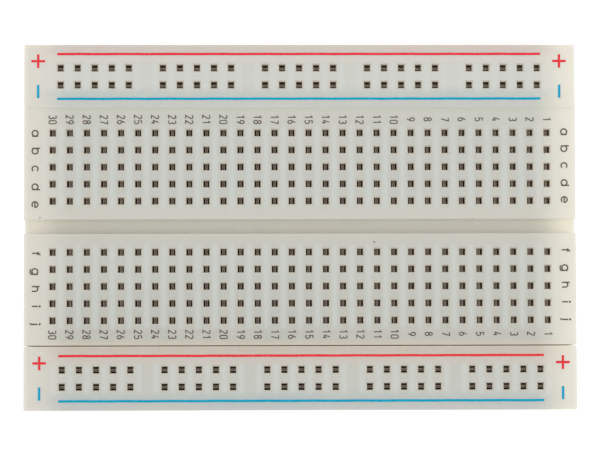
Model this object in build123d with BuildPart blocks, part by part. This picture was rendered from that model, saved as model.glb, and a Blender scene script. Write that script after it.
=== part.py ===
from build123d import *
import os

# Half-size solderless breadboard with 400 contact holes on a 0.1 inch grid.
#
# A terminal strip carries two banks of 30 columns by 5 rows, either side of a channel that chips
# straddle. A bus strip hooks on to each long side over dovetail tabs, and lifts off upwards. Spring
# clips are pushed into slots from below, one for each column of five holes and one for each bus line.
# Foam tape closes the slots, and a release liner covers the tape.
#
# Frame: +X runs along the columns from number 30 to number 1, +Y points from row j to row a, and +Z is
# up. The origin is the centre of the resting face, the underside of the liner. Sizes are in millimetres.

# Contact grid
PITCH = 2.54
COLUMNS = 30
ROWS_PER_BANK = 5
BANK_CENTRE = 3.5 * PITCH  # from the centre line to the middle row of a bank
BUS_POSITIONS = 29
BUS_BLANK_EVERY = 6  # every sixth bus position has no hole
BUS_LINE_OFFSET = PITCH / 2  # from the middle of a bus strip to each of its two lines
BUS_SHIFT = -0.12  # along X, from the middle of a bus moulding to the middle of its hole pattern

# Layers, from the resting face up
LINER_THICKNESS = 0.1
FOAM_THICKNESS = 0.9
BODY_HEIGHT = 8.5

# Mouldings
LENGTH = 82.2
TERMINAL_WIDTH = 35.3
BUS_WIDTH = 9.52
TOP_WALL = 1.4
CORNER_RADIUS = 0.15
TOP_EDGE_RADIUS = 0.05
UPPER_JOINT_GAP = 0.02  # the upper bus strip is pushed up tight
LOWER_JOINT_GAP = 0.14  # the lower one stands a little off
CHANNEL_WIDTH = 2.16
CHANNEL_DEPTH = 2.0

# Contact holes: a straight throat under a flared mouth
THROAT_X = 0.9
THROAT_Y = 0.98
MOUTH_FLARE = 0.14  # how much wider the mouth is on each side
MOUTH_DEPTH = 0.22

# Slots that hold the clips
SLOT_WIDTH = 1.84
SLOT_END = 1.1  # past the centre of the last hole
RIB_CLEARANCE = 0.1  # between a rib and the fingers on either side
RIB_DROP = 3.2  # how far the ribs in a bus slot hang below the top wall

# Dovetail tabs on the long sides of the terminal strip
TABS = 4
TAB_SPACING = BUS_BLANK_EVERY * PITCH
TAB_NECK = 2.6
TAB_HEAD = 3.6
TAB_REACH = 1.1
TAB_HEIGHT = 6.0
TAB_CLEARANCE = 0.15

# Spring clips, bent from one strip of sheet
SHEET = 0.16
CLIP_WIDTH = 1.6
CLIP_LIFT = 0.05  # clip floor above the foam
CLIP_WALL = 1.3  # unbroken side wall under the fingers
FINGER_WIDTH = 1.9
PINCH_HEIGHT = 6.1  # where the two fingers nearly touch
PINCH_GAP = 0.04
TIP_HEIGHT = 6.85
TIP_SPREAD = 0.06  # opening between the two finger tips
BEND_RADIUS = 0.32

# Tape and liner
TAPE_INSET = 0.15
LINER_INSET = 0.05
LINER_CORNER_RADIUS = 0.6

foam_top = LINER_THICKNESS + FOAM_THICKNESS
clip_floor = foam_top + CLIP_LIFT
body_top = foam_top + BODY_HEIGHT
slot_height = BODY_HEIGHT - TOP_WALL
bank_span = (ROWS_PER_BANK - 1) * PITCH
row_places = [(n - (ROWS_PER_BANK - 1) / 2) * PITCH for n in range(ROWS_PER_BANK)]
column_x = [((COLUMNS + 1) / 2 - number) * PITCH for number in range(1, COLUMNS + 1)]
bus_middle = (BUS_POSITIONS - 1) / 2
bus_numbers = [n for n in range(BUS_POSITIONS) if (n + 1) % BUS_BLANK_EVERY]
bus_places = [(n - bus_middle) * PITCH for n in bus_numbers]
tab_places = [(n - (TABS - 1) / 2) * TAB_SPACING for n in range(TABS)]
upper_bus_y = TERMINAL_WIDTH / 2 + UPPER_JOINT_GAP + BUS_WIDTH / 2
lower_bus_y = -(TERMINAL_WIDTH / 2 + LOWER_JOINT_GAP + BUS_WIDTH / 2)


def dovetail(neck, head, reach):
    """A dovetail outline that widens towards +Y, with its root on the X axis."""
    with BuildSketch() as outline:
        Polygon((-neck / 2, 0), (neck / 2, 0), (head / 2, reach), (-head / 2, reach), align=None)
    return outline.sketch


def spring_clip(places):
    """A clip along X that has a pair of fingers at each of these places, with its floor at z = 0."""
    outer = CLIP_WIDTH / 2
    pinch = PINCH_GAP / 2 + SHEET
    tip = TIP_SPREAD / 2 + SHEET
    one_side = [(tip, TIP_HEIGHT), (pinch, PINCH_HEIGHT), (outer, CLIP_WALL), (outer, 0)]
    other_side = [(-y, z) for y, z in reversed(one_side)]
    with BuildPart() as clip:
        with BuildSketch(Plane.YZ.offset(places[0] - FINGER_WIDTH / 2)):
            with BuildLine():
                FilletPolyline(*one_side, *other_side, radius=BEND_RADIUS)
                offset(amount=SHEET, side=Side.RIGHT)
            make_face()
        extrude(amount=places[-1] - places[0] + FINGER_WIDTH)
        # Gaps between neighbouring fingers
        for left, right in zip(places, places[1:]):
            with BuildSketch(Plane.XY.offset(CLIP_WALL)):
                with Locations(((left + right) / 2, 0)):
                    Rectangle(right - left - FINGER_WIDTH, 2 * CLIP_WIDTH)
        extrude(amount=TIP_HEIGHT, mode=Mode.SUBTRACT)
    return clip.part


os.makedirs("parts", exist_ok=True)

# The space one contact hole takes out of a top wall, with its mouth at z = 0
with BuildPart() as contact_hole:
    with BuildSketch():
        Rectangle(THROAT_X, THROAT_Y)
    extrude(amount=-TOP_WALL)
    Wedge(
        THROAT_X + 2 * MOUTH_FLARE,
        MOUTH_DEPTH,
        THROAT_Y + 2 * MOUTH_FLARE,
        MOUTH_FLARE,
        MOUTH_FLARE,
        MOUTH_FLARE + THROAT_X,
        MOUTH_FLARE + THROAT_Y,
        rotation=(-90, 0, 0),
        align=(Align.CENTER, Align.MIN, Align.CENTER),
    )

# Terminal strip: the centre moulding, with its clip slots open below
with BuildPart() as terminal_strip:
    with BuildSketch(Plane.XY.offset(foam_top)):
        Rectangle(LENGTH, TERMINAL_WIDTH)
    extrude(amount=BODY_HEIGHT)
    fillet(terminal_strip.edges().filter_by(Axis.Z), CORNER_RADIUS)
    # Channel
    with BuildSketch(Plane.XY.offset(body_top)):
        Rectangle(LENGTH, CHANNEL_WIDTH)
    extrude(amount=-CHANNEL_DEPTH, mode=Mode.SUBTRACT)
    fillet(terminal_strip.edges().group_by(Axis.Z)[-1], TOP_EDGE_RADIUS)
    # Dovetail tabs
    with BuildSketch(Plane.XY.offset(foam_top)):
        for side, turn in ((1, 0), (-1, 180)):
            with Locations(*[Location((x, side * TERMINAL_WIDTH / 2), turn) for x in tab_places]):
                add(dovetail(TAB_NECK, TAB_HEAD, TAB_REACH))
    extrude(amount=TAB_HEIGHT)
    # Clip slots and contact holes
    with BuildSketch(Plane.XY.offset(foam_top)):
        with Locations(*[(x, y) for x in column_x for y in (-BANK_CENTRE, BANK_CENTRE)]):
            Rectangle(SLOT_WIDTH, bank_span + 2 * SLOT_END)
    extrude(amount=slot_height, mode=Mode.SUBTRACT)
    with Locations((0, -BANK_CENTRE, body_top), (0, BANK_CENTRE, body_top)):
        with GridLocations(PITCH, PITCH, COLUMNS, ROWS_PER_BANK):
            add(contact_hole.part, mode=Mode.SUBTRACT)
terminal_strip.part.label = "terminal_strip"
export_step(terminal_strip.part, "parts/terminal_strip.step")

# Bus moulding: centred on its own middle, with dovetail sockets in its -Y side
socket = dovetail(
    TAB_NECK + 2 * TAB_CLEARANCE,
    TAB_HEAD + 2 * TAB_CLEARANCE,
    TAB_REACH + TAB_CLEARANCE,
)
with BuildPart() as bus_moulding:
    with BuildSketch(Plane.XY.offset(foam_top)):
        Rectangle(LENGTH, BUS_WIDTH)
    extrude(amount=BODY_HEIGHT)
    fillet(bus_moulding.edges().filter_by(Axis.Z), CORNER_RADIUS)
    fillet(bus_moulding.edges().group_by(Axis.Z)[-1], TOP_EDGE_RADIUS)
    # Sockets, open below
    with BuildSketch(Plane.XY.offset(foam_top)):
        with Locations(*[(x, -BUS_WIDTH / 2) for x in tab_places]):
            add(socket)
    extrude(amount=TAB_HEIGHT + TAB_CLEARANCE, mode=Mode.SUBTRACT)
    # Clip slots, with ribs hanging between the fingers
    with BuildSketch(Plane.XY.offset(foam_top)):
        with Locations((BUS_SHIFT, -BUS_LINE_OFFSET), (BUS_SHIFT, BUS_LINE_OFFSET)):
            Rectangle(bus_places[-1] - bus_places[0] + 2 * SLOT_END, SLOT_WIDTH)
    extrude(amount=slot_height, mode=Mode.SUBTRACT)
    for left, right in zip(bus_places, bus_places[1:]):
        with BuildSketch(Plane.XY.offset(body_top - TOP_WALL)):
            with Locations((BUS_SHIFT + (left + right) / 2, 0)):
                rib = right - left - FINGER_WIDTH - 2 * RIB_CLEARANCE
                Rectangle(rib, 2 * BUS_LINE_OFFSET + SLOT_WIDTH)
    extrude(amount=-RIB_DROP)
    # Contact holes
    lines = (-BUS_LINE_OFFSET, BUS_LINE_OFFSET)
    with Locations(*[(BUS_SHIFT + x, y, body_top) for x in bus_places for y in lines]):
        add(contact_hole.part, mode=Mode.SUBTRACT)

# The two bus strips are the same moulding, and the lower one is turned round
with BuildPart() as upper_bus_strip:
    with Locations((0, upper_bus_y, 0)):
        add(bus_moulding.part)
upper_bus_strip.part.label = "upper_bus_strip"
export_step(upper_bus_strip.part, "parts/upper_bus_strip.step")

with BuildPart() as lower_bus_strip:
    with Locations(Location((0, lower_bus_y, 0), (0, 0, 180))):
        add(bus_moulding.part)
lower_bus_strip.part.label = "lower_bus_strip"
export_step(lower_bus_strip.part, "parts/lower_bus_strip.step")

# Clips under the terminal strip: each column has one under rows a to e and one under rows f to j
terminal_clip = spring_clip(row_places)
for number, x in enumerate(column_x, start=1):
    name = f"column_{number:02d}_clips"
    with BuildPart() as column_clips:
        with Locations(
            Location((x, BANK_CENTRE, clip_floor), 90),
            Location((x, -BANK_CENTRE, clip_floor), 90),
        ):
            add(terminal_clip)
    column_clips.part.label = name
    export_step(column_clips.part, f"parts/{name}.step")

# Clips under the bus lines
line_clip = spring_clip(bus_places)
for bus, shift, middle in (("upper_bus", BUS_SHIFT, upper_bus_y), ("lower_bus", -BUS_SHIFT, lower_bus_y)):
    for line, side in (("positive", 1), ("negative", -1)):
        name = f"{bus}_{line}_clip"
        with BuildPart() as bus_clip:
            with Locations((shift, middle + side * BUS_LINE_OFFSET, clip_floor)):
                add(line_clip)
        bus_clip.part.label = name
        export_step(bus_clip.part, f"parts/{name}.step")

# Foam tape under the terminal strip
with BuildPart() as terminal_foam_tape:
    with BuildSketch(Plane.XY.offset(LINER_THICKNESS)):
        Rectangle(LENGTH - 2 * TAPE_INSET, TERMINAL_WIDTH - 2 * TAPE_INSET)
    extrude(amount=FOAM_THICKNESS)
terminal_foam_tape.part.label = "terminal_foam_tape"
export_step(terminal_foam_tape.part, "parts/terminal_foam_tape.step")

# Foam tape under each bus strip, cut away where the tabs pass
for bus, middle, turn in (("upper_bus", upper_bus_y, 0), ("lower_bus", lower_bus_y, 180)):
    name = f"{bus}_foam_tape"
    with BuildPart() as bus_foam_tape:
        with BuildSketch(Plane(origin=(0, middle, LINER_THICKNESS)).rotated((0, 0, turn))):
            Rectangle(LENGTH - 2 * TAPE_INSET, BUS_WIDTH - 2 * TAPE_INSET)
            with Locations(*[(x, -BUS_WIDTH / 2) for x in tab_places]):
                add(socket, mode=Mode.SUBTRACT)
        extrude(amount=FOAM_THICKNESS)
    bus_foam_tape.part.label = name
    export_step(bus_foam_tape.part, f"parts/{name}.step")

# Release liner: one sheet of coated paper under all the tape
with BuildPart() as release_liner:
    with BuildSketch():
        with Locations((0, (upper_bus_y + lower_bus_y) / 2)):
            full_width = upper_bus_y - lower_bus_y + BUS_WIDTH
            RectangleRounded(LENGTH - 2 * LINER_INSET, full_width - 2 * LINER_INSET, LINER_CORNER_RADIUS)
    extrude(amount=LINER_THICKNESS)
release_liner.part.label = "release_liner"
export_step(release_liner.part, "parts/release_liner.step")
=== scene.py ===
import math

import bpy
from mathutils import Matrix, Vector, noise


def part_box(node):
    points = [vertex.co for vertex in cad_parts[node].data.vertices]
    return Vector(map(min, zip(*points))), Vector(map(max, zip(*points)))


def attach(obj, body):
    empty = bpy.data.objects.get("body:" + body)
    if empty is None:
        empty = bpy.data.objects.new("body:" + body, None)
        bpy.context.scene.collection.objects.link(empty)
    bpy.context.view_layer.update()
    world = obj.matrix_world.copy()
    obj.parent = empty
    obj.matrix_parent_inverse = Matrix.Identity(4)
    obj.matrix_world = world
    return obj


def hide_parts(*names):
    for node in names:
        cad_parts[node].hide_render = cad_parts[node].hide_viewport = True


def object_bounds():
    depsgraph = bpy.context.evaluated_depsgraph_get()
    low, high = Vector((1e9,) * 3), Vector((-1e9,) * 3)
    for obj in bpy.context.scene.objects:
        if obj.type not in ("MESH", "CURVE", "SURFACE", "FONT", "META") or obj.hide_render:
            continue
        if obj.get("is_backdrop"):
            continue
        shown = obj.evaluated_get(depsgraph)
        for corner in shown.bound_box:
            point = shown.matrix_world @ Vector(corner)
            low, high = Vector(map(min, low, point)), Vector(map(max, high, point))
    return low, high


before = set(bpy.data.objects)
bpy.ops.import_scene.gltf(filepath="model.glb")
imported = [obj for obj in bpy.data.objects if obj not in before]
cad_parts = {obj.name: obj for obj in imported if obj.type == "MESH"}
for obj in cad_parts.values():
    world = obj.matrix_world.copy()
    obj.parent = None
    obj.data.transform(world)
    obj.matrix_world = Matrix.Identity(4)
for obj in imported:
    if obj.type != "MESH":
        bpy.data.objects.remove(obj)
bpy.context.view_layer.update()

# A solderless breadboard. The CAD gives the strips, clips and liner, and this script adds their materials,
# the foam tape, the printing and a studio. Lengths are in millimetres unless a comment says otherwise.
MM = 0.001
PITCH = 2.54
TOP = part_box("terminal_strip")[1].z / MM
END_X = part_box("terminal_strip")[1].x / MM
CHANNEL_HALF, CHANNEL_DEPTH = 1.08, 2.0
# The slots under the holes reach SLOTS_END either way along X, and the solid end walls start past CORE_END
SLOTS_END, CORE_END = 38.4, 40.3


# ---------------------------------------------------------------- shader helpers
class Graph:
    """Short calls for building a node tree: values may be numbers, colours or sockets."""

    def __init__(self, name):
        self.material = bpy.data.materials.new(name)
        self.material.use_nodes = True
        self.tree = self.material.node_tree
        self.tree.nodes.clear()
        self.out = self.tree.nodes.new("ShaderNodeOutputMaterial")

    def put(self, socket, value):
        if isinstance(value, bpy.types.NodeSocket):
            self.tree.links.new(value, socket)
        elif isinstance(value, (tuple, list)) and len(value) == 3 and socket.type == "RGBA":
            socket.default_value = (*value, 1)
        else:
            socket.default_value = value

    def math(self, operation, a, b=0.0, c=0.0, clamp=False):
        node = self.tree.nodes.new("ShaderNodeMath")
        node.operation = operation
        node.use_clamp = clamp
        for socket, value in zip(node.inputs, (a, b, c)):
            self.put(socket, value)
        return node.outputs[0]

    def ramp(self, value, low, high, out_low=0.0, out_high=1.0):
        """Smooth step of value from low to high."""
        node = self.tree.nodes.new("ShaderNodeMapRange")
        node.interpolation_type = "SMOOTHSTEP"
        for socket, number in zip(node.inputs, (value, low, high, out_low, out_high)):
            self.put(socket, number)
        return node.outputs[0]

    def mix(self, factor, a, b, blend="MIX"):
        node = self.tree.nodes.new("ShaderNodeMix")
        node.data_type = "RGBA"
        node.blend_type = blend
        node.clamp_factor = True
        self.put(node.inputs[0], factor)
        self.put(node.inputs[6], a)
        self.put(node.inputs[7], b)
        return node.outputs[2]

    def scaled(self, factor, colour):
        node = self.tree.nodes.new("ShaderNodeCombineXYZ")
        for socket, part in zip(node.inputs, colour):
            self.put(socket, self.math("MULTIPLY", factor, part))
        return node.outputs[0]

    def position(self, scale=(1, 1, 1)):
        """Coordinates in millimetres at rest, each multiplied by scale."""
        coordinate = self.tree.nodes.new("ShaderNodeTexCoord")
        mapping = self.tree.nodes.new("ShaderNodeMapping")
        self.put(mapping.inputs["Vector"], coordinate.outputs["Object"])
        mapping.inputs["Scale"].default_value = [1000 * s for s in scale]
        return mapping.outputs[0]

    def split(self, vector):
        node = self.tree.nodes.new("ShaderNodeSeparateXYZ")
        self.put(node.inputs[0], vector)
        return node.outputs

    def normal(self):
        coordinate = self.tree.nodes.new("ShaderNodeTexCoord")
        return self.split(coordinate.outputs["Normal"])

    def noise(self, vector, scale, detail=3.0, roughness=0.55):
        node = self.tree.nodes.new("ShaderNodeTexNoise")
        self.put(node.inputs["Vector"], vector)
        node.inputs["Scale"].default_value = scale
        node.inputs["Detail"].default_value = detail
        node.inputs["Roughness"].default_value = roughness
        return node.outputs["Fac"]

    def cells(self, vector, scale, feature="F1"):
        node = self.tree.nodes.new("ShaderNodeTexVoronoi")
        node.feature = feature
        self.put(node.inputs["Vector"], vector)
        node.inputs["Scale"].default_value = scale
        return node.outputs["Distance"]

    def bump(self, height, distance, strength=1.0, normal=None):
        node = self.tree.nodes.new("ShaderNodeBump")
        self.put(node.inputs["Height"], height)
        node.inputs["Distance"].default_value = distance
        node.inputs["Strength"].default_value = strength
        if normal is not None:
            self.put(node.inputs["Normal"], normal)
        return node.outputs[0]

    def surface(self, **inputs):
        shader = self.tree.nodes.new("ShaderNodeBsdfPrincipled")
        names = {
            "colour": "Base Color",
            "roughness": "Roughness",
            "metallic": "Metallic",
            "normal": "Normal",
            "ior": "IOR",
            "specular": "Specular IOR Level",
            "subsurface": "Subsurface Weight",
            "radius": "Subsurface Radius",
            "scale": "Subsurface Scale",
            "coat": "Coat Weight",
            "coat_roughness": "Coat Roughness",
            "anisotropic": "Anisotropic",
            "emission": "Emission Color",
            "glow": "Emission Strength",
        }
        for key, value in inputs.items():
            self.put(shader.inputs[names[key]], value)
        self.tree.links.new(shader.outputs[0], self.out.inputs[0])
        return self.material


def linear(red, green, blue):
    """A colour given as 8-bit sRGB, in linear light."""
    def one(v):
        v /= 255
        return v / 12.92 if v <= 0.04045 else ((v + 0.055) / 1.055) ** 2.4

    return one(red), one(green), one(blue)


# ---------------------------------------------------------------- materials
def between(g, value, low, high, soft):
    """1 inside the range and 0 outside, with soft edges."""
    rise = g.ramp(value, low - soft, low + soft)
    fall = g.ramp(value, high - soft, high + soft, 1.0, 0.0)
    return g.math("MULTIPLY", rise, fall)


def stripe(g, across, pitch, half_width, soft, phase=0.0):
    """1 on a line every pitch, falling to 0 past half_width either side of it."""
    moved = g.math("ADD", across, 1000 * pitch + pitch / 2 - phase)
    wrapped = g.math("MODULO", moved, pitch)
    distance = g.math("ABSOLUTE", g.math("SUBTRACT", wrapped, pitch / 2))
    return g.ramp(distance, half_width - soft, half_width + soft, 1.0, 0.0)


def slot_banks(g, y, bands):
    """1 over the banks of slots."""
    total = 0.0
    for middle, half in bands:
        total = g.math("ADD", total, between(g, y, middle - half, middle + half, 0.5))
    return total


def slot_walls(g, x, in_bank, up, phase):
    """1 over the walls between neighbouring slots."""
    wall = stripe(g, x, PITCH, 0.40, 0.34, phase + PITCH / 2)
    columns = between(g, x, -SLOTS_END, SLOTS_END, 0.8)
    return g.math("MULTIPLY", g.math("MULTIPLY", wall, in_bank), g.math("MULTIPLY", columns, up))


def strip_colour(g, y, up, tones):
    """Colour across the top of a strip, and one colour for its sides."""
    base = linear(*tones[0])
    for start, end, tone in tones[1:]:
        base = g.mix(g.ramp(y, start, end), base, linear(*tone))
    return g.mix(up, linear(204, 203, 195), base)


def end_colour(g, x, base):
    """Brighter and warmer towards the two ends, where the end walls pass light, and more so at +X."""
    base = g.mix(g.ramp(x, -33.5, -40.6, 0.0, 0.90), base, linear(220, 216, 206))
    base = g.mix(g.ramp(x, 34.0, 40.6, 0.0, 0.90), base, linear(232, 228, 215))
    return g.mix(g.ramp(g.math("ABSOLUTE", x), END_X - 0.8, END_X, 0.0, 0.6), base, linear(231, 229, 224))


def speck_colour(g, x, y, grain, base, specks):
    """Specks of dirt with ragged edges."""
    for speck_x, speck_y, radius, colour in specks:
        away_x = g.math("POWER", g.math("SUBTRACT", x, speck_x), 2.0)
        away_y = g.math("POWER", g.math("SUBTRACT", y, speck_y), 2.0)
        away = g.math("SQRT", g.math("ADD", away_x, away_y))
        away = g.math("ADD", away, g.math("MULTIPLY", grain, radius))
        base = g.mix(g.ramp(away, radius, 1.8 * radius, 0.9, 0.0), base, linear(*colour))
    return base


def channel_faces(g, y, z, normal_x, below_top):
    """1 on the walls and floor of the channel, and 0 on the ends of the strip."""
    floor_z = TOP - CHANNEL_DEPTH
    faces = g.math("MULTIPLY", between(g, y, -CHANNEL_HALF - 0.3, CHANNEL_HALF + 0.3, 0.1), below_top)
    faces = g.math("MULTIPLY", faces, g.ramp(z, floor_z - 0.2, floor_z - 0.1))
    return g.math("MULTIPLY", faces, g.ramp(g.math("ABSOLUTE", normal_x), 0.3, 0.6, 1.0, 0.0))


def throat_light(g, x, y, z, core, in_channel):
    """Light in the throats and slots, most near the top."""
    inside = g.math("MULTIPLY", between(g, x, -CORE_END, CORE_END, 0.1), between(g, y, *core, 0.1))
    inside = g.math("MULTIPLY", inside, g.ramp(z, TOP - 0.2, TOP - 0.1, 1.0, 0.0))
    throat = g.math("SUBTRACT", inside, in_channel, clamp=True)
    throat = g.math("MULTIPLY", throat, g.ramp(z, TOP - 1.5, TOP - 0.1, 0.007, 0.12))
    return g.scaled(throat, (1.0, 0.76, 0.54))


def channel_light(g, x, y, normal_z, in_channel):
    """Light in the channel, least along its -Y side, and most at its open ends."""
    amount = g.math("MULTIPLY", g.ramp(normal_z, 0.3, 0.8, 0.155, 0.02), g.ramp(y, -1.1, 0.3, 0.40, 1.0))
    amount = g.math("ADD", amount, g.ramp(g.math("ABSOLUTE", x), 36.0, 40.4, 0.0, 0.045))
    return g.scaled(g.math("MULTIPLY", in_channel, amount), (1.0, 0.98, 0.84))


def joint_light(g, y, z, normal_z, joint, depth, colour):
    """Light that comes up between two strips, on the faces that stand against each other."""
    near = between(g, y, joint - 0.16, joint + 0.16, 0.02)
    near = g.math("MULTIPLY", near, g.ramp(z, TOP - depth, TOP - 0.03))
    near = g.math("MULTIPLY", near, g.ramp(normal_z, 0.5, 0.95, 1.0, 0.0))
    return g.scaled(near, colour)


def ivory_plastic(name, bands, phase, core, tones, joints, specks=()):
    """Translucent ivory moulding. Light gathers in the walls between the slots, which show through the top.

    bands: (middle, half length) along Y of each bank of slots, and phase is the X of one of its holes.
    core: the range of Y that the slots fill.
    tones: (start, end, colour), where the colour takes over along Y. The first colour has no range.
    joints: (Y, depth, colour) of the faces against the next strip, and the light that comes up between them.
    specks: (X, Y, radius, colour) of specks of dirt."""
    g = Graph(name)
    place = g.position()
    x, y, z = g.split(place)
    normal_x, _, normal_z = g.normal()
    up = g.ramp(normal_z, 0.55, 0.95)
    below_top = g.ramp(z, TOP - 0.12, TOP - 0.04, 1.0, 0.0)
    cloud = g.noise(place, 0.06, 2.0)
    mottle = g.noise(place, 0.55, 3.0)
    grain = g.noise(place, 7.0, 2.0, 0.7)
    fine = g.noise(place, 16.0, 2.0, 0.6)

    # Colour, first of the strip and its unevenness, then of the slots that show through: painted shade over
    # the banks of slots and painted light over the walls between them
    base = strip_colour(g, y, up, tones)
    base = g.mix(g.math("MULTIPLY", g.ramp(cloud, 0.35, 0.65), 0.25), base, linear(205, 200, 189))
    base = g.mix(g.math("MULTIPLY", g.ramp(mottle, 0.3, 0.7), 0.12), base, linear(208, 206, 199))
    in_bank = slot_banks(g, y, bands)
    wall = slot_walls(g, x, in_bank, up, phase)
    base = g.mix(g.math("MULTIPLY", in_bank, g.math("MULTIPLY", up, 0.35)), base, linear(187, 190, 183))
    base = g.mix(g.math("MULTIPLY", wall, 0.55), base, linear(206, 210, 206))
    base = end_colour(g, x, base)
    # Then painted shade on the sloping sides of the hole mouths, then the fine grain, and the dirt
    mouth_slope_shade = g.math("MULTIPLY", between(g, normal_z, 0.3, 0.85, 0.1), below_top)
    base = g.mix(g.math("MULTIPLY", mouth_slope_shade, 0.5), base, linear(200, 191, 178))
    base = g.mix(g.math("MULTIPLY", g.ramp(grain, 0.35, 0.75), 0.10), base, linear(186, 182, 168))
    base = speck_colour(g, x, y, grain, base, specks)

    # Light that comes through the plastic
    in_channel = channel_faces(g, y, z, normal_x, below_top)
    light = throat_light(g, x, y, z, core, in_channel)
    light = g.mix(1.0, light, channel_light(g, x, y, normal_z, in_channel), "ADD")
    for joint in joints:
        light = g.mix(1.0, light, joint_light(g, y, z, normal_z, *joint), "ADD")

    rough = g.math("ADD", g.ramp(mottle, 0.2, 0.8, 0.40, 0.52), g.math("MULTIPLY", grain, 0.05))
    normal = g.bump(fine, 0.012 * MM, 0.6)
    normal = g.bump(mottle, 0.05 * MM, 0.35, normal)
    return g.surface(
        colour=base, roughness=rough, normal=normal, ior=1.53, subsurface=0.25,
        radius=(1.0, 0.92, 0.74), scale=1.3 * MM, emission=light, glow=1.0,
    )


def clip_metal():
    g = Graph("clip_nickel")
    place = g.position((1, 1, 6))
    streak = g.noise(place, 1.6, 4.0, 0.65)
    blotch = g.noise(g.position(), 0.9, 3.0)
    colour = g.mix(g.ramp(streak, 0.3, 0.7), (0.27, 0.23, 0.18), (0.45, 0.40, 0.34))
    colour = g.mix(g.math("MULTIPLY", g.ramp(blotch, 0.55, 0.8), 0.5), colour, (0.27, 0.22, 0.16))
    rough = g.ramp(streak, 0.25, 0.75, 0.22, 0.42)
    # Light that reaches the tips of the fingers through the plastic around them
    height, facing_up = g.split(g.position())[2], g.normal()[2]
    tips = g.math("MULTIPLY", g.ramp(height, TOP - 2.4, TOP - 1.7), g.ramp(facing_up, 0.2, 0.8, 0.35, 1.0))
    amount = g.math("MULTIPLY", tips, g.ramp(blotch, 0.2, 0.8, 0.010, 0.034))
    light = g.mix(1.0, linear(20, 14, 9), g.scaled(amount, (1.0, 0.86, 0.74)), "ADD")
    return g.surface(
        colour=colour, metallic=1.0, roughness=rough, normal=g.bump(streak, 0.01 * MM, 0.5), anisotropic=0.4,
        emission=light, glow=1.0,
    )


def foam():
    g = Graph("foam_tape")
    place = g.position()
    cell = g.cells(place, 5.5)
    wall = g.cells(place, 5.5, "DISTANCE_TO_EDGE")
    tone = g.noise(place, 0.8, 3.0)
    colour = g.mix(g.ramp(cell, 0.0, 0.7), (0.60, 0.58, 0.52), (0.84, 0.83, 0.79))
    colour = g.mix(g.math("MULTIPLY", g.ramp(tone, 0.3, 0.7), 0.35), colour, (0.74, 0.71, 0.62))
    normal = g.bump(g.ramp(wall, 0.0, 0.18), 0.05 * MM, 0.8)
    return g.surface(
        colour=colour, roughness=0.85, normal=normal, subsurface=0.1, radius=(1, 1, 1), scale=0.5 * MM,
    )


def paper():
    g = Graph("liner_paper")
    fibre = g.noise(g.position((0.5, 3, 3)), 1.4, 5.0, 0.7)
    cross = g.noise(g.position((3, 0.5, 3)), 1.2, 5.0, 0.7)
    fibres = g.math("MULTIPLY", g.math("ADD", fibre, cross), 0.5)
    colour = g.mix(g.ramp(fibres, 0.35, 0.65), (0.74, 0.72, 0.62), (0.86, 0.85, 0.79))
    return g.surface(
        colour=colour, roughness=g.ramp(fibres, 0.3, 0.7, 0.28, 0.42), normal=g.bump(fibres, 0.01 * MM, 0.5),
        coat=0.25, coat_roughness=0.25,
    )


def ink(name, thin, full):
    """Screen-printed ink, a little uneven, with the plastic just showing where it is thin."""
    g = Graph(name)
    place = g.position()
    cover = g.noise(place, 3.2, 4.0, 0.7)
    speckle = g.noise(place, 18.0, 2.0, 0.7)
    colour = g.mix(g.ramp(cover, 0.3, 0.62), thin, full)
    colour = g.mix(g.math("MULTIPLY", g.ramp(speckle, 0.6, 0.8), 0.25), colour, thin)
    normal = g.bump(speckle, 0.004 * MM, 0.5)
    return g.surface(colour=colour, roughness=0.6, normal=normal, ior=1.5, specular=0.1)


def floor_material():
    g = Graph("studio_floor")
    place = g.position()
    tone = g.noise(place, 0.02, 4.0)
    tooth = g.noise(place, 1.2, 4.0, 0.7)
    colour = g.mix(g.ramp(tone, 0.3, 0.7), (0.86, 0.86, 0.86), (0.90, 0.90, 0.90))
    return g.surface(
        colour=colour, roughness=0.8, normal=g.bump(tooth, 0.03 * MM, 0.3), emission=(1, 1, 1), glow=0.45,
    )


def use(node, material):
    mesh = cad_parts[node].data
    mesh.materials.clear()
    mesh.materials.append(material)


def find_joint(which):
    """Y of the joint between a bus strip and the terminal strip: the bus strip's inner edge."""
    low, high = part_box(f"{which}_bus_strip")
    return (low.y if which == "upper" else high.y) / MM


def line_places(which):
    """(X of the middle of a bus strip's holes, Y of its positive line, Y of its negative line)."""
    found = []
    for sign in ("positive", "negative"):
        low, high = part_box(f"{which}_bus_{sign}_clip")
        found.append((low + high) / 2 / MM)
    return found[0].x, found[0].y, found[1].y


# Each joint between strips: its Y, then how far down light reaches, and the light
JOINTS = {
    "upper": (find_joint("upper"), 0.35, (0.16, 0.16, 0.12)),
    "lower": (find_joint("lower"), 2.0, (0.17, 0.13, 0.075)),
}
# Rows a to e and f to j each have a bank of slots, whose middle is 3.5 pitches from the middle of the board
BANK_MIDDLE, BANK_HALF, TERMINAL_CORE = 3.5 * PITCH, 6.2, 16.5
use("terminal_strip", ivory_plastic(
    "ivory_terminal", [(BANK_MIDDLE, BANK_HALF), (-BANK_MIDDLE, BANK_HALF)], PITCH / 2,
    (-TERMINAL_CORE, TERMINAL_CORE),
    (
        (198, 191, 178), (-17.4, -16.7, (187, 188, 181)), (-13.0, -5.0, (194, 197, 190)),
        (-5.0, -1.2, (197, 196, 187)), (1.0, 1.3, (200, 200, 191)), (3.0, 6.0, (195, 196, 191)),
        (12.0, 16.0, (196, 198, 190)), (16.9, 17.6, (194, 195, 183)),
    ),
    JOINTS.values(),
    (
        (-38.7, 1.37, 0.12, (116, 98, 80)), (11.0, -2.34, 0.15, (104, 78, 60)),
        (25.7, 1.16, 0.12, (168, 160, 140)),
    ),
))
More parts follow.
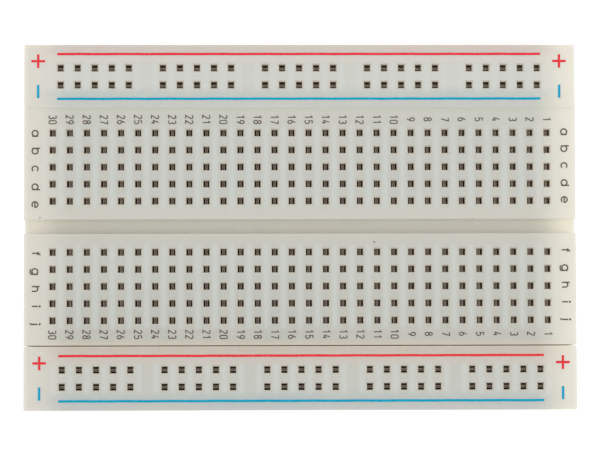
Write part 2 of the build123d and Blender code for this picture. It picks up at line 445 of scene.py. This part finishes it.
# The same for a bus strip, with Y measured from its middle
BUS_TONES = {
    "upper": (
        (193, 197, 191), (-3.5, -2.9, (186, 196, 192)), (-2.6, -1.2, (213, 214, 209)),
        (1.2, 2.2, (214, 207, 200)), (2.4, 4.0, (203, 192, 187)),
    ),
    "lower": (
        (188, 192, 191), (-4.0, -3.4, (181, 191, 190)), (-2.9, -1.4, (199, 201, 195)),
        (-0.8, 0.2, (200, 200, 192)), (1.6, 2.6, (203, 193, 184)), (3.0, 4.2, (197, 184, 170)),
    ),
}
BUS_BANK_HALF, BUS_CORE = 2.2, 3.5
for which, (first, *later) in BUS_TONES.items():
    shift, positive, negative = line_places(which)
    middle = (positive + negative) / 2
    tones = (first, *((middle + start, middle + end, tone) for start, end, tone in later))
    bank, core = (middle, BUS_BANK_HALF), (middle - BUS_CORE, middle + BUS_CORE)
    plastic = ivory_plastic(f"ivory_{which}_bus", [bank], shift, core, tones, [JOINTS[which]])
    use(f"{which}_bus_strip", plastic)
metal = clip_metal()
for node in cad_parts:
    if node.endswith(("_clip", "_clips")):
        use(node, metal)
use("release_liner", paper())

INK_DARK = ink("ink_dark", linear(126, 116, 102), linear(84, 74, 66))
INK_RED = ink("ink_red", linear(232, 76, 84), linear(222, 46, 58))
INK_BLUE = ink("ink_blue", linear(24, 172, 204), linear(6, 150, 186))


# ---------------------------------------------------------------- print
def arc(cx, cy, rx, ry, start, end, steps=14):
    """Points on an ellipse, from one angle to another in degrees."""
    points = []
    for i in range(steps + 1):
        angle = math.radians(start + (end - start) * i / steps)
        points.append((cx + rx * math.cos(angle), cy + ry * math.sin(angle)))
    return points


def curve(start, control, end, steps=10):
    """Points on a quadratic curve."""
    points = []
    for i in range(steps + 1):
        t = i / steps
        weights = ((1 - t) ** 2, 2 * t * (1 - t), t * t)
        points.append(tuple(
            weights[0] * a + weights[1] * b + weights[2] * c for a, b, c in zip(start, control, end)
        ))
    return points


def digit_strokes(digit, w, h):
    """Centre lines of a narrow digit, w wide and h high."""
    r = w / 2
    if digit == "0":
        return [arc(r, h - r, r, r, 180, 0) + arc(r, r, r, r, 0, -180) + [(0, h - r)]]
    if digit == "1":
        return [[(0.12 * w, h * 0.80), (0.62 * w, h), (0.62 * w, 0)]]
    if digit == "2":
        return [arc(r, h - r, r, r, 165, -25) + [(0.0, 0.0), (w, 0.0)]]
    if digit == "3":
        return [
            arc(r, h * 0.765, r * 0.92, h * 0.235, 150, -90),
            arc(r, h * 0.265, r, h * 0.265, 90, -150),
        ]
    if digit == "4":
        return [[(0.55 * w, h), (0, 0.26 * h), (w, 0.26 * h)], [(0.72 * w, 0.52 * h), (0.72 * w, 0)]]
    if digit == "5":
        bowl = arc(0.47 * w, 0.31 * h, 0.53 * w, 0.31 * h, 138, -150)
        return [[(0.92 * w, h), (0.1 * w, h), (0.07 * w, 0.51 * h)] + bowl]
    if digit == "6":
        stem = curve((0, 0.33 * h), (0.08 * w, 0.62 * h), (0.68 * w, h))
        return [arc(r, 0.29 * h, r, 0.29 * h, 0, 360, 22), stem]
    if digit == "7":
        return [[(0, h), (w, h), (0.36 * w, 0)]]
    if digit == "8":
        return [
            arc(r, 0.765 * h, r * 0.86, 0.235 * h, 0, 360, 20),
            arc(r, 0.265 * h, r, 0.265 * h, 0, 360, 20),
        ]
    turned = digit_strokes("6", w, h)
    return [[(w - x, h - y) for x, y in stroke] for stroke in turned]


def letter_strokes(letter, w, x_height, ascender):
    """Centre lines of a round lower-case letter, with its baseline at 0."""
    r, m = w / 2, x_height / 2
    ring = arc(r, m, r, m, 0, 360, 26)
    tail = -0.3 * x_height
    if letter == "a":
        return [ring, [(w, x_height), (w, 0)]]
    if letter == "b":
        return [ring, [(0, ascender), (0, 0)]]
    if letter == "c":
        return [arc(r, m, r, m, 42, 318, 20)]
    if letter == "d":
        return [ring, [(w, ascender), (w, 0)]]
    if letter == "e":
        return [[(0, m), (w, m)] + arc(r, m, r, m, 8, 318, 24)]
    if letter == "f":
        stem = arc(0.62 * w, ascender - 0.26 * w, 0.26 * w, 0.26 * w, 75, 180, 8) + [(0.36 * w, 0)]
        return [stem, [(0.1 * w, x_height), (0.68 * w, x_height)]]
    if letter == "g":
        return [ring, [(w, x_height), (w, tail + 0.3 * w)] + arc(r, tail + 0.3 * w, r, 0.3 * w, 0, -150, 12)]
    if letter == "h":
        arch = arc(r, x_height - 0.42 * w, 0.42 * w, 0.42 * w, 180, 0, 12)
        leg = [(0.08 * w, 0.55 * x_height)] + arch + [(0.92 * w, 0)]
        return [[(0.08 * w, ascender), (0.08 * w, 0)], leg]
    dot = arc(0, 0, 0.05, 0.05, 0, 360, 8)
    if letter == "i":
        return [[(r, x_height), (r, 0)], [(r + x, ascender + y) for x, y in dot]]
    hook = [(0.6 * w, x_height), (0.6 * w, tail + 0.26 * w)]
    hook += arc(0.34 * w, tail + 0.26 * w, 0.26 * w, 0.26 * w, 0, -80, 8)
    return [hook, [(0.6 * w + x, ascender + y) for x, y in dot]]


def cut_outline(node):
    """The outline of a flat CAD sheet seen from above, anticlockwise."""
    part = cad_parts[node]
    corners = [part.matrix_world @ v.co / MM for v in part.data.vertices]
    floor_z = min(c.z for c in corners)
    sides = set()
    for polygon in part.data.polygons:
        ring = [corners[i] for i in polygon.vertices]
        if max(c.z for c in ring) < floor_z + 0.01:
            keys = [(round(c.x, 3), round(c.y, 3)) for c in ring]
            for start, end in zip(keys, keys[1:] + keys[:1]):
                if (end, start) in sides:
                    sides.remove((end, start))
                else:
                    sides.add((start, end))
    after = dict(sides)
    first = min(after)
    outline = [first]
    while after[outline[-1]] != first:
        outline.append(after[outline[-1]])
    return [Vector(point) for point in reversed(outline)]


# The cut edge of the foam tape: the step along it, how deep its cells are, and how many to a millimetre
EDGE_STEP, CELL_DEPTH, CELLS_ALONG, CELLS_UP = 0.4, 0.09, 1.9, 3.1
# (share of the height, how far the edge is set in there)
EDGE_ROWS = (
    (0.0, 0.10), (0.08, 0.04), (0.25, 0.01), (0.45, 0.0),
    (0.62, 0.0), (0.80, 0.01), (0.93, 0.04), (1.0, 0.09),
)


def foam_sheet(name, node, body, material):
    """Die-cut foam tape in the space of a CAD sheet, with its cut edge rounded over and rough with cells."""
    low, high = (corner.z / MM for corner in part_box(node))
    corners = cut_outline(node)
    path = []
    for start, end in zip(corners, corners[1:] + corners[:1]):
        pieces = max(1, round((end - start).length / EDGE_STEP))
        path += [start.lerp(end, i / pieces) for i in range(pieces)]
    edge = []
    for before, point, after in zip(path[-1:] + path[:-1], path, path[1:] + path[:1]):
        way = (after - before).normalized()
        edge.append((point, Vector((-way.y, way.x))))
    verts, faces = [], []
    for share, inset in EDGE_ROWS:
        z = low + share * (high - low)
        for point, inward in edge:
            spot = Vector((point.x * CELLS_ALONG, point.y * CELLS_ALONG, z * CELLS_UP))
            cell = abs(noise.noise(spot))
            place = point + inward * (inset + (CELL_DEPTH * cell if 0 < share < 1 else 0.0))
            verts.append((place.x * MM, place.y * MM, z * MM))
    n = len(edge)
    bands = len(EDGE_ROWS) - 1
    for row in range(bands):
        for i in range(n):
            j = (i + 1) % n
            faces.append((row * n + i, row * n + j, row * n + n + j, row * n + n + i))
    faces.append(tuple(reversed(range(n))))
    faces.append(tuple(range(bands * n, bands * n + n)))
    mesh = bpy.data.meshes.new(name)
    mesh.from_pydata(verts, [], faces)
    mesh.validate()
    for polygon in mesh.polygons:
        polygon.use_smooth = polygon.index < bands * n
    mesh.materials.append(material)
    piece = bpy.data.objects.new(name, mesh)
    bpy.context.scene.collection.objects.link(piece)
    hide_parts(node)
    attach(piece, body)


tape = foam()
foam_sheet("terminal_foam_sheet", "terminal_foam_tape", "terminal", tape)
foam_sheet("upper_bus_foam_sheet", "upper_bus_foam_tape", "upper_bus", tape)
foam_sheet("lower_bus_foam_sheet", "lower_bus_foam_tape", "lower_bus", tape)


class Print:
    """A flat printed mesh made of ribbons, each a closed solid a little taller than the one before."""

    LAYERS, STEP = 7, 0.0012
    SUNK, THICK = 0.02, 0.012  # below and above the top of the strip

    def __init__(self):
        self.verts, self.faces, self.count = [], [], 0

    def ribbon(self, points, width):
        """A ribbon of this width along these points, with square ends, or a ring if they close."""
        clean = [Vector(points[0])]
        for p in points[1:]:
            if (Vector(p) - clean[-1]).length > 1e-4:
                clean.append(Vector(p))
        closed = (clean[0] - clean[-1]).length < 1e-3
        if closed:
            clean.pop()
        n = len(clean)
        pairs = []
        for i, p in enumerate(clean):
            before = clean[i - 1] if (i > 0 or closed) else None
            after = clean[(i + 1) % n] if (i < n - 1 or closed) else None
            ways = []
            if before is not None:
                ways.append((p - before).normalized())
            if after is not None:
                ways.append((after - p).normalized())
            way = sum(ways, Vector((0, 0))).normalized()
            side = Vector((-way.y, way.x))
            stretch = 1 / max(0.45, abs(side.dot(Vector((-ways[0].y, ways[0].x)))))
            pairs.append((p + side * width / 2 * stretch, p - side * width / 2 * stretch))
        bottom = TOP - self.SUNK
        top = TOP + self.THICK + self.STEP * (self.count % self.LAYERS)
        self.count += 1
        first = len(self.verts)
        for left, right in pairs:
            for p, z in ((left, top), (right, top), (right, bottom), (left, bottom)):
                self.verts.append((p.x * MM, p.y * MM, z * MM))
        ring_steps = n if closed else n - 1
        for i in range(ring_steps):
            a, b = first + 4 * i, first + 4 * ((i + 1) % n)
            for k in range(4):
                m = (k + 1) % 4
                self.faces.append((a + k, b + k, b + m, a + m))
        if not closed:
            last = first + 4 * (n - 1)
            self.faces.append(tuple(range(first, first + 4)))
            self.faces.append(tuple(reversed(range(last, last + 4))))

    def finish(self, name, body, material):
        mesh = bpy.data.meshes.new(name)
        mesh.from_pydata(self.verts, [], self.faces)
        mesh.validate()
        piece = bpy.data.objects.new(name, mesh)
        bpy.context.scene.collection.objects.link(piece)
        mesh.materials.append(material)
        bpy.context.view_layer.objects.active = piece
        piece.select_set(True)
        bpy.ops.object.mode_set(mode="EDIT")
        bpy.ops.mesh.select_all(action="SELECT")
        bpy.ops.mesh.normals_make_consistent(inside=False)
        bpy.ops.object.mode_set(mode="OBJECT")
        piece.select_set(False)
        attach(piece, body)


def stand(strokes, x, y):
    """Strokes turned a quarter turn clockwise, so that their top faces +X and they read towards -Y."""
    return [[(x + v, y - u) for u, v in stroke] for stroke in strokes]


# Column numbers above row a and below row j, with column 1 at the +X end
COLUMNS = 30
DIGIT_W, DIGIT_H, DIGIT_PEN, DIGIT_STEP = 0.47, 1.09, 0.16, 0.77
NUMBER_ROWS = (15.97, -16.03)
numbers = Print()
for number in range(1, COLUMNS + 1):
    text = str(number)
    x = ((COLUMNS + 1) / 2 - number) * PITCH - DIGIT_H / 2
    for y in NUMBER_ROWS:
        start = y + (len(text) - 1) * DIGIT_STEP / 2 + DIGIT_W / 2
        for i, digit in enumerate(text):
            for stroke in stand(digit_strokes(digit, DIGIT_W, DIGIT_H), x, start - i * DIGIT_STEP):
                numbers.ribbon(stroke, DIGIT_PEN)
numbers.finish("column_numbers_print", "terminal", INK_DARK)

# Row letters at both ends, printed slightly out of line with the rows on the left
LETTER_W, X_HEIGHT, ASCENDER, LETTER_PEN = 0.84, 0.87, 1.17, 0.20
LEFT_X, RIGHT_X, RIGHT_DRIFT = -39.86, 38.94, 0.13
# letter: (row, in pitches from the middle of the channel; how far out of line the left letter is)
ROWS = {
    "a": (5.5, -0.05), "b": (4.5, -0.16), "c": (3.5, -0.28), "d": (2.5, -0.40), "e": (1.5, -0.50),
    "f": (-1.5, -0.25), "g": (-2.5, -0.30), "h": (-3.5, -0.34), "i": (-4.5, -0.39), "j": (-5.5, -0.43),
}
letters = Print()
for letter, (row, left_drift) in ROWS.items():
    strokes = letter_strokes(letter, LETTER_W, X_HEIGHT, ASCENDER)
    for x, drift in ((LEFT_X, left_drift), (RIGHT_X, RIGHT_DRIFT)):
        for stroke in stand(strokes, x, row * PITCH + drift + LETTER_W / 2):
            letters.ribbon(stroke, LETTER_PEN)
letters.finish("row_letters_print", "terminal", INK_DARK)

# Polarity lines and signs on the bus strips
LINE_REACH, LINE_OUT, LINE_STEPS, PEN = 36.05, 3.35, 60, 0.36
SIGN_X, PLUS_Y, PLUS_HALF, MINUS_Y, MINUS_HALF = 38.87, 2.28, 1.02, -2.25, 0.98
for which in ("upper", "lower"):
    shift, positive, negative = line_places(which)
    middle = (positive + negative) / 2
    red, blue = Print(), Print()
    for ink_print, y in ((red, middle + LINE_OUT), (blue, middle - LINE_OUT)):
        # Screen-printed lines aren't quite straight
        line = []
        for i in range(LINE_STEPS + 1):
            x = shift - LINE_REACH + 2 * LINE_REACH * i / LINE_STEPS
            line.append((x, y + 0.012 * math.sin(x * 0.9) + 0.008 * math.sin(x * 2.3 + 1)))
        ink_print.ribbon(line, PEN)
    for end in (-1, 1):
        x = shift + end * SIGN_X
        y = middle + PLUS_Y
        red.ribbon([(x - PLUS_HALF, y), (x + PLUS_HALF, y)], PEN)
        red.ribbon([(x, y - PLUS_HALF), (x, y + PLUS_HALF)], PEN)
        y = middle + MINUS_Y
        blue.ribbon([(x, y - MINUS_HALF), (x, y + MINUS_HALF)], PEN)
    red.finish(f"{which}_bus_positive_print", f"{which}_bus", INK_RED)
    blue.finish(f"{which}_bus_negative_print", f"{which}_bus", INK_BLUE)


# ---------------------------------------------------------------- studio
# Metres from here on
bpy.ops.mesh.primitive_plane_add(size=6, location=(0, 0, -0.0002))
floor = bpy.context.active_object
floor.name = "studio_floor"
floor.data.materials.append(floor_material())
floor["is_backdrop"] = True

world = bpy.data.worlds.new("studio")
bpy.context.scene.world = world
world.use_nodes = True
# An even dim light on the object, and a pale backdrop where the camera sees past the floor
tree = world.node_tree
dim, pale = tree.nodes["Background"], tree.nodes.new("ShaderNodeBackground")
dim.inputs["Color"].default_value, dim.inputs["Strength"].default_value = (1, 1, 1, 1), 0.42
pale.inputs["Color"].default_value, pale.inputs["Strength"].default_value = (0.90, 0.905, 0.91, 1), 1.0
seen, either = tree.nodes.new("ShaderNodeLightPath"), tree.nodes.new("ShaderNodeMixShader")
tree.links.new(seen.outputs["Is Camera Ray"], either.inputs[0])
tree.links.new(dim.outputs[0], either.inputs[1])
tree.links.new(pale.outputs[0], either.inputs[2])
tree.links.new(either.outputs[0], tree.nodes["World Output"].inputs[0])


def softbox(name, place, aim, size, power, colour):
    """A rectangular studio light at a place in metres, facing aim. power is in watts."""
    data = bpy.data.lights.new(name, "AREA")
    data.shape = "RECTANGLE"
    data.size, data.size_y = size
    data.energy = power
    data.color = colour
    lamp = bpy.data.objects.new(name, data)
    bpy.context.scene.collection.objects.link(lamp)
    lamp.location = place
    lamp.rotation_mode = "QUATERNION"
    lamp.rotation_quaternion = (Vector(aim) - Vector(place)).to_track_quat("-Z", "Y")


low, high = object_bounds()
centre = (low + high) / 2
softbox("left_softbox", (-0.42, -0.06, 0.42), centre, (0.35, 0.5), 1.15, (1.0, 0.985, 0.96))
softbox("right_softbox", (0.40, -0.06, 0.42), centre, (0.35, 0.5), 1.3, (1.0, 0.985, 0.955))
softbox("back_softbox", (0.0, 0.30, 0.30), centre, (0.4, 0.2), 0.55, (0.97, 0.985, 1.0))

# ---------------------------------------------------------------- camera
# A long lens from just off straight overhead, turned a fraction of a degree about its axis
FOCAL_LENGTH, SENSOR_WIDTH, ROLL = 173.7, 36, math.radians(-0.16)
AIM_X, AIM_Y, FROM_AIM = -0.05, 0.205, Vector((-8.8, -23.8, 430))
aim = Vector((centre.x + AIM_X * MM, AIM_Y * MM, high.z))
camera_data = bpy.data.cameras.new("camera")
camera = bpy.data.objects.new("camera", camera_data)
bpy.context.scene.collection.objects.link(camera)
camera.location = aim + FROM_AIM * MM
camera_data.lens = FOCAL_LENGTH
camera_data.sensor_width = SENSOR_WIDTH
camera_data.clip_start, camera_data.clip_end = 0.01, 20
forward = (aim - camera.location).normalized()
right = forward.cross(Vector((0, 1, 0))).normalized()
upward = right.cross(forward)
across = right * math.cos(ROLL) + upward * math.sin(ROLL)
along = upward * math.cos(ROLL) - right * math.sin(ROLL)
camera.rotation_mode = "QUATERNION"
camera.rotation_quaternion = Matrix((across, along, -forward)).transposed().to_quaternion()
bpy.context.scene.camera = camera

bpy.context.scene.view_settings.view_transform = "Standard"
bpy.context.scene.view_settings.look = "None"
bpy.context.scene.view_settings.exposure = 0.0
